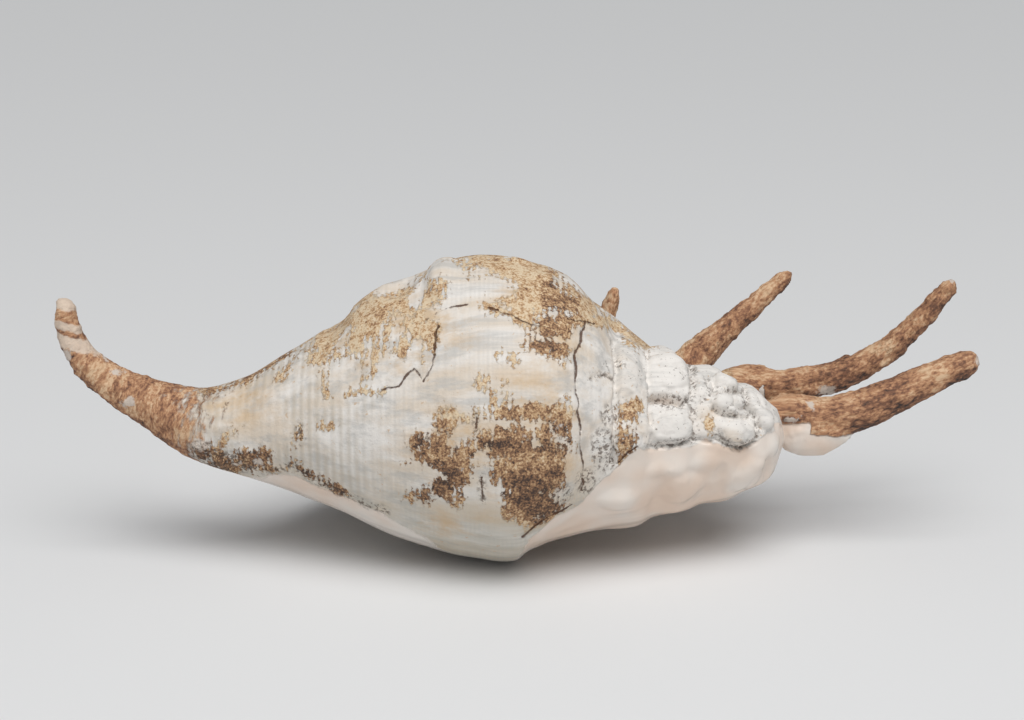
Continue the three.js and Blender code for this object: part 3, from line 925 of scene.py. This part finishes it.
@dataclass
class Shell:
    """The shell: canal, body whorl, spire, lip and fingers in one mesh."""

    view: PhotoView
    finish: ShellFinish
    node: str = "shell"
    body: str = "root"
    slot: str = "shell"
    voxel: float = 1.36 * MM
    relax_rounds: int = 14
    finger_reach: float = 10.0  # mm from a finger's line within which the crust is whole
    finger_swell: float = 0.3  # mm that the crust stands out from the solid

    def __post_init__(self) -> None:
        """Takes the working frame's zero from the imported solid."""
        low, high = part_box(self.node)
        self.zero = np.array((low.x, low.y + AXIS_SHARE * (high.y - low.y), 0.0))

    def build(self) -> bpy.types.Object:
        """Makes the shell's object, with its fine surface and marks, and returns it."""
        mesh = self._remeshed()
        self._relax(mesh)
        self._refine(mesh, self._shown_detail(mesh))
        self._refine(mesh, self._by_cracks(mesh))
        self._stretch_fingers(mesh)
        self._trim_flap(mesh)
        self._carve(mesh)
        self._mark(mesh)
        mesh.polygons.foreach_set("use_smooth", np.ones(len(mesh.polygons), bool))
        mesh.materials.append(self.finish.material())
        piece = bpy.data.objects.new("conch_shell", mesh)
        bpy.context.scene.collection.objects.link(piece)
        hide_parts(self.node)
        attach(piece, self.body)
        triangles = sum(len(face.vertices) - 2 for face in mesh.polygons)
        LOG.info("%s: %d triangles", piece.name, triangles)
        return piece

    def _remeshed(self) -> bpy.types.Mesh:
        """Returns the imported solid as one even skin."""
        solid = bmesh.new()
        solid.from_mesh(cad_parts[self.node].data)
        bmesh.ops.remove_doubles(solid, verts=solid.verts, dist=0.001 * MM)
        rough = bpy.data.meshes.new("rough_shell")
        solid.to_mesh(rough)
        solid.free()
        holder = bpy.data.objects.new("rough_shell", rough)
        bpy.context.scene.collection.objects.link(holder)
        remesh = holder.modifiers.new("skin", "REMESH")
        remesh.mode = "VOXEL"
        remesh.voxel_size = self.voxel
        graph = bpy.context.evaluated_depsgraph_get()
        mesh = bpy.data.meshes.new_from_object(holder.evaluated_get(graph))
        bpy.data.objects.remove(holder)
        bpy.data.meshes.remove(rough)
        mesh.name = "conch_shell"
        return mesh

    def _relax(self, mesh: bpy.types.Mesh) -> None:
        """Evens out the facets of the solid without shrinking the shell."""
        skin = bmesh.new()
        skin.from_mesh(mesh)
        for _ in range(self.relax_rounds):
            for factor in (0.5, -0.51):
                bmesh.ops.smooth_vert(
                    skin, verts=skin.verts, factor=factor, use_axis_x=True, use_axis_y=True, use_axis_z=True
                )
        skin.to_mesh(mesh)
        skin.free()

    def _shown_detail(self, mesh: bpy.types.Mesh) -> np.ndarray:
        """Returns where the photograph shows finer forms: the spire, the crust and the cracks."""
        points, normals = self._surface(mesh)
        place = self._working(points)
        facing = self.view.facing(points, normals)
        pixels = self.view.to_pixels(points)
        front = (facing > -0.1) & (place[:, 1] < 25.0)
        lines = (cover(CRACKS, pixels) > -7.0) & (facing > 0.05) & (place[:, 1] < 25.0)
        fingers = np.min([f.follow(place)[0] for f in FINGERS[:3]], axis=0) < 9.0
        canal = place[:, 0] < 40.0
        shown = front & ((self._spire_cover(place) > 0.2) | canal)
        return shown | lines | (fingers & (facing > -0.3))

    def _by_cracks(self, mesh: bpy.types.Mesh) -> np.ndarray:
        """Returns where the cracks are."""
        points, normals = self._surface(mesh)
        near = self._near(points, normals, self._working(points)) > 0.2
        return near & (cover(CRACKS, self.view.to_pixels(points)) > -2.5)

    def _refine(self, mesh: bpy.types.Mesh, chosen: np.ndarray) -> None:
        """Splits the faces between the chosen vertices, and rounds them off."""
        skin = bmesh.new()
        skin.from_mesh(mesh)
        skin.verts.ensure_lookup_table()
        edges = [e for e in skin.edges if chosen[e.verts[0].index] and chosen[e.verts[1].index]]
        split = bmesh.ops.subdivide_edges(skin, edges=edges, cuts=1, use_grid_fill=True)
        bmesh.ops.triangulate(skin, faces=[f for f in skin.faces if len(f.verts) > 4])
        fresh = [v for v in split["geom_inner"] if isinstance(v, bmesh.types.BMVert) and v.is_valid]
        bmesh.ops.smooth_vert(
            skin, verts=fresh, factor=0.4, use_axis_x=True, use_axis_y=True, use_axis_z=True
        )
        skin.to_mesh(mesh)
        skin.free()

    def _stretch_fingers(self, mesh: bpy.types.Mesh) -> None:
        """Draws the fingers' tips out to the length that the photograph shows."""
        points, _ = self._surface(mesh)
        place = self._working(points)
        for finger in FINGERS:
            distance, along, _, heading = finger.follow(place)
            share = np.where(distance < 9.0, along / finger.length, 0.0)
            points += heading * (finger.stretch * MM * share**2)[:, None]
        mesh.vertices.foreach_set("co", points.astype(np.float32).ravel())
        mesh.update()

    def _trim_flap(self, mesh: bpy.types.Mesh) -> None:
        """Cuts the lower edge of the callus flap under the rearmost finger to a slant."""
        points, _ = self._surface(mesh)
        pixels = self.view.to_pixels(points)
        across, down = np.array(FLAP_BOTTOM).T
        excess = np.clip(pixels[:, 1] - np.interp(pixels[:, 0], across, down), 0.0, 40.0)
        apart = np.linalg.norm(self._working(points) - np.array(FLAP_MIDDLE), axis=1)
        lift = excess * PX_MM * MM * smoothstep(FLAP_REACH, FLAP_REACH - 4.0, apart)
        lift *= smoothstep(*FLAP_FADE, pixels[:, 0])
        points += np.outer(lift, np.array(self.view.up))
        mesh.vertices.foreach_set("co", points.astype(np.float32).ravel())
        mesh.update()

    def _carve(self, mesh: bpy.types.Mesh) -> None:
        """Moves the surface in and out: knobs, grooves, flakes, pits and crust."""
        points, normals = self._surface(mesh)
        place = self._working(points)
        pixels = self._wavering(points, place)
        near = self._near(points, normals, place)
        crust = self._crust_cover(place)
        spire = self._spire_cover(place)
        rise = 0.15 * ripple(place, (40, 6, 6)) * (1.0 - crust)
        rise += self._knobs(mesh, points, place)
        fingers = self._finger_cover(place)
        rise += self.finger_swell * fingers
        rise += crust * (0.5 * ripple(place, (6, 4, 4), 4) + 0.3 * ripple(place, (2.0, 1.6, 1.6), 2))
        flakes = smoothstep(-3.0, 3.0, self._skin(pixels) + 6.0 * ripple(place, (4, 4, 4), 3))
        rise += near * (1.0 - crust) * flakes * (0.12 + 0.12 * ripple(place, (2, 2, 2), 2))
        bare = smoothstep(3.0, -3.0, self._glaze_cover(place, normals, pixels, near))
        pitted = 0.3 * ripple(place, (5, 4, 4), 3) + 0.25 * ripple(place, (1.8, 1.5, 1.5), 3)
        rise += bare * near * spire * pitted
        seams = np.max([line.groove(pixels, 1.2 * line.half_width) for line in SPIRE_SEAMS], axis=0)
        rise -= 1.0 * near * seams
        cracks = np.max([line.groove(pixels, 0.4 + line.half_width) for line in CRACKS], axis=0)
        rise -= 0.4 * near * cracks
        moved = points + normals * rise[:, None] * MM
        moved[:, 2] = np.maximum(moved[:, 2], 0.0)
        mesh.vertices.foreach_set("co", moved.astype(np.float32).ravel())
        mesh.update()

    def _knobs(self, mesh: bpy.types.Mesh, points: np.ndarray, place: np.ndarray) -> np.ndarray:
        """Returns how far the knobs of the spire and the crust stand out at each point, in mm."""
        skin = bmesh.new()
        skin.from_mesh(mesh)
        tree = BVHTree.FromBMesh(skin)
        skin.free()
        warp = 0.2 * ripple(place, (5, 5, 5), 2)

        def highest(lumps: Sequence[Lump]) -> np.ndarray:
            """Returns the height of the tallest of several knobs at each point, in mm."""
            height = np.zeros(len(points))
            for lump in lumps:
                seat, normal, _, _ = tree.ray_cast(*self.view.ray((lump.x, lump.y)))
                if seat is None:
                    LOG.warning("no surface at %s", lump)
                    continue
                height = np.maximum(height, lump.rise(points, seat, normal, warp))
            return height

        return highest(SPIRE_LUMPS + FORM_LUMPS + CRUST_LUMPS) - highest(FORM_DENTS)

    def _mark(self, mesh: bpy.types.Mesh) -> None:
        """Stores the marks that the finish reads."""
        points, normals = self._surface(mesh)
        place = self._working(points)
        pixels = self._wavering(points, place)
        near = self._near(points, normals, place)
        crust = self._crust_cover(place)
        # painted shade: the crust is darker where it faces down
        under = smoothstep(0.1, 0.8, -normals[:, 2])
        tone = 0.14 + 0.32 * smoothstep(-8.0, 8.0, cover(BROWN_PATCHES, pixels))
        tone += 0.26 * smoothstep(-5.0, 5.0, cover(DARK_PATCHES, pixels))
        plain = near * tone + (1.0 - near) * 0.35
        rough = 0.9 * under + self._finger_shade(place)
        shown = self.view.facing(points, normals) > 0.0
        far_skin = 11.0 * ripple(place, (22, 14, 14), 4) + 4.0
        fields = {
            Field.SKIN: near * self._skin(pixels) + (1.0 - near) * far_skin,
            Field.TONE_AND_SHADE: (1.0 - crust) * plain + crust * rough,
            Field.STAIN: near * smoothstep(-10.0, 25.0, cover(STAINS, pixels)) + (1.0 - near) * 0.6,
            Field.GLAZE: self._glaze_cover(place, normals, pixels, near),
            Field.CRUST: crust,
            Field.CRACK: np.where(near > 0.2, cover(CRACKS, pixels), NOWHERE),
            Field.DARK_SPECKS: near * smoothstep(-3.0, 2.0, cover(DARK_SPECK_MARKS, pixels)),
            Field.PALE: np.where(shown, cover(PALE_SPOTS, pixels), NOWHERE),
            Field.RING: np.where(place[:, 0] < 22.0, place[:, 2] + 0.25 * place[:, 0], 0.0),
            Field.SPIRE: self._spire_cover(place),
        }
        for mark, values in fields.items():
            layer = mesh.attributes.new(mark.value, "FLOAT", "POINT")
            layer.data.foreach_set("value", values.astype(np.float32))
        layer = mesh.attributes.new(Field.FLOW.value, "FLOAT_VECTOR", "POINT")
        layer.data.foreach_set("vector", (self._flow(place) * MM).astype(np.float32).ravel())

    def _wavering(self, points: np.ndarray, place: np.ndarray) -> np.ndarray:
        """Returns the points' pixels, shifted a little here and there so that no mark has an even edge."""
        coarse = [ripple(place + 40.0 * k, (6, 6, 6), 2) for k in (1, 2)]
        fine = [ripple(place + 90.0 * k, (1.8, 1.8, 1.8), 2) for k in (1, 2)]
        return self.view.to_pixels(points) + 2.2 * np.stack(coarse, axis=1) + 0.9 * np.stack(fine, axis=1)

    def _finger_shade(self, place: np.ndarray) -> np.ndarray:
        """Returns how dark the crust is: the rear fingers darken to their tips, the others are pale."""
        shade = np.full(len(place), 0.05)
        for finger in FINGERS[:2]:
            distance, along, _, _ = finger.follow(place)
            shade += smoothstep(12.0, 7.0, distance) * (0.02 + 0.16 * along / finger.length)
        return shade

    def _surface(self, mesh: bpy.types.Mesh) -> tuple[np.ndarray, np.ndarray]:
        """Returns the places and directions of the mesh's vertices."""
        count = len(mesh.vertices)
        points = np.empty(count * 3, np.float32)
        normals = np.empty(count * 3, np.float32)
        mesh.vertices.foreach_get("co", points)
        mesh.vertex_normals.foreach_get("vector", normals)
        return points.reshape(-1, 3).astype(float), normals.reshape(-1, 3).astype(float)

    def _working(self, points: np.ndarray) -> np.ndarray:
        """Returns points in mm from the canal's tip, the coiling axis and the table."""
        return (points - self.zero) / MM

    def _near(self, points: np.ndarray, normals: np.ndarray, place: np.ndarray) -> np.ndarray:
        """Returns 1 where the photograph shows the spindle's surface, and 0 where it is hidden."""
        facing = smoothstep(0.0, 0.18, self.view.facing(points, normals))
        return facing * smoothstep(34.0, 24.0, place[:, 1])

    def _skin(self, pixels: np.ndarray) -> np.ndarray:
        """Returns how far inside the brown skin each pixel is."""
        return np.minimum(cover(SKIN_PATCHES, pixels), -cover(BARE_PATCHES, pixels))

    def _finger_cover(self, place: np.ndarray, root_gap: float = 0.0) -> np.ndarray:
        """Returns where the fingers are.

        Args:
            place: points in mm.
            root_gap: how far from its root a finger starts, in mm.

        Returns:
            1 on the fingers, 0 away from them.
        """
        fingers = np.zeros(len(place))
        for finger in FINGERS:
            distance, along, _, _ = finger.follow(place)
            share = smoothstep(self.finger_reach + 4.0, self.finger_reach - 2.0, distance)
            if root_gap:
                share *= smoothstep(0.3 * root_gap, root_gap, along)
            fingers = np.maximum(fingers, share)
        return fingers

    def _crust_cover(self, place: np.ndarray) -> np.ndarray:
        """Returns where the crust of the fingers and the canal is."""
        canal = smoothstep(70.0, 20.0, place[:, 0])
        return np.maximum(self._finger_cover(place), canal)

    def _flow(self, place: np.ndarray) -> np.ndarray:
        """Returns each point's place along and about the nearest finger, in mm.

        On the canal the first value runs across it at a slant, and so do the fibres of its crust.
        """
        nearest = np.full(len(place), 1e6)
        flow = np.zeros_like(place)
        for finger in (CANAL, *FINGERS):
            distance, along, offset, heading = finger.follow(place)
            aside = np.cross(heading, (0.0, 1.0, 0.0))
            height = np.einsum("ij,ij->i", offset, aside)
            if finger is CANAL:
                local = np.stack([height + 0.5 * along, along, offset[:, 1]], axis=1)
            else:
                local = np.stack([along, offset[:, 1], height], axis=1)
            closer = distance < nearest
            nearest = np.where(closer, distance, nearest)
            flow = np.where(closer[:, None], local, flow)
        return flow

    def _spire_cover(self, place: np.ndarray) -> np.ndarray:
        """Returns where the bare whorls of the spire are."""
        beside = smoothstep(40.0, 30.0, np.hypot(place[:, 1], place[:, 2] - 40.0))
        return smoothstep(164.0, 172.0, place[:, 0]) * smoothstep(236.0, 231.0, place[:, 0]) * beside

    def _glaze_cover(
        self, place: np.ndarray, normals: np.ndarray, pixels: np.ndarray, near: np.ndarray
    ) -> np.ndarray:
        """Returns how far inside the glossy callus each point is, in pixels."""
        across, down = np.array(GLAZE_EDGE).T
        below = pixels[:, 1] - np.interp(pixels[:, 0], across, down)
        outward = place[:, 1] * normals[:, 1] + (place[:, 2] - 42.0) * normals[:, 2]
        inner = smoothstep(4.0, -4.0, outward) * smoothstep(55.0, 75.0, place[:, 0])
        inner *= smoothstep(0.25, 0.0, normals[:, 2])
        under = smoothstep(-0.25, -0.55, normals[:, 2]) * smoothstep(40.0, 80.0, place[:, 0])
        hidden = 16.0 * np.maximum(inner, under) - 8.0
        bare = 30.0 * (0.4 - self._finger_cover(place, root_gap=9.0))
        across, down = np.array(FLAP_TOP).T
        under_finger = pixels[:, 1] - np.interp(pixels[:, 0], across, down)
        apart = np.linalg.norm(place - np.array(FLAP_MIDDLE), axis=1)
        flap = np.minimum.reduce([under_finger, across[-1] - pixels[:, 0], 2.0 * (FLAP_REACH - apart)])
        flap = np.where(place[:, 0] > FLAP_ROOT, flap, NOWHERE)
        return np.maximum(np.minimum(near * below + (1.0 - near) * hidden, bare), flap)


@dataclass
class Studio:
    """A plain pale floor and soft light."""

    floor_side: float = 12.0
    floor_colour: Colour = srgb(228, 228, 228)

    def build(self) -> None:
        """Makes the floor and the lights."""
        self._floor()
        self._sun()
        self._softbox("softbox", (0.1, -0.75, 1.0), 0.8, 5.0)
        world = bpy.data.worlds.new("studio")
        world.use_nodes = True
        world.node_tree.nodes["Background"].inputs["Color"].default_value = (0.94, 0.97, 1.0, 1.0)
        world.node_tree.nodes["Background"].inputs["Strength"].default_value = 0.22
        bpy.context.scene.world = world
        bpy.context.scene.view_settings.view_transform = "Standard"

    def _floor(self) -> None:
        """Makes the floor."""
        plane = bmesh.new()
        bmesh.ops.create_grid(plane, x_segments=2, y_segments=2, size=self.floor_side / 2)
        mesh = bpy.data.meshes.new("floor")
        plane.to_mesh(mesh)
        plane.free()
        kit = NodeKit("floor_paper")
        shader = kit.add("ShaderNodeBsdfPrincipled")
        shader.inputs["Base Color"].default_value = (*self.floor_colour, 1.0)
        shader.inputs["Roughness"].default_value = 0.9
        output = kit.add("ShaderNodeOutputMaterial")
        kit.feed(output.inputs["Surface"], shader.outputs["BSDF"])
        mesh.materials.append(kit.material)
        floor = bpy.data.objects.new("floor", mesh)
        bpy.context.scene.collection.objects.link(floor)
        LOG.info("%s: %.0f m square", floor.name, self.floor_side)

    def _sun(self) -> None:
        """Adds a wide soft light from above and a little in front."""
        data = bpy.data.lights.new("overhead", "SUN")
        data.angle = math.radians(50)
        data.energy = 1.6
        light = bpy.data.objects.new("overhead", data)
        light.rotation_euler = (math.radians(22), math.radians(6), 0.0)
        bpy.context.scene.collection.objects.link(light)

    def _softbox(self, name: str, place: Sequence[float], size: float, power: float) -> None:
        """Adds a soft square light that looks at the shell.

        Args:
            name: the light's name.
            place: where it stands, in metres.
            size: its side, in metres.
            power: its power, in watts.
        """
        data = bpy.data.lights.new(name, "AREA")
        data.shape = "SQUARE"
        data.size = size
        data.energy = power
        light = bpy.data.objects.new(name, data)
        light.location = place
        aim = Vector((0.0, 0.0, 0.04)) - light.location
        light.rotation_euler = aim.to_track_quat("-Z", "Y").to_euler()
        bpy.context.scene.collection.objects.link(light)


def photo_target() -> Vector:
    """Returns the point of the shell's box that the photograph's middle shows."""
    low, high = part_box("shell")
    return Vector([a + share * (b - a) for a, b, share in zip(low, high, PHOTO_MIDDLE)])


def main() -> None:
    """Builds the shell and the studio, and notes the sizes."""
    logging.basicConfig(level=logging.INFO)
    view = PhotoView(photo_target())
    view.add_camera()
    Shell(view, ShellFinish()).build()
    Studio().build()


if __name__ == "__main__":
    main()
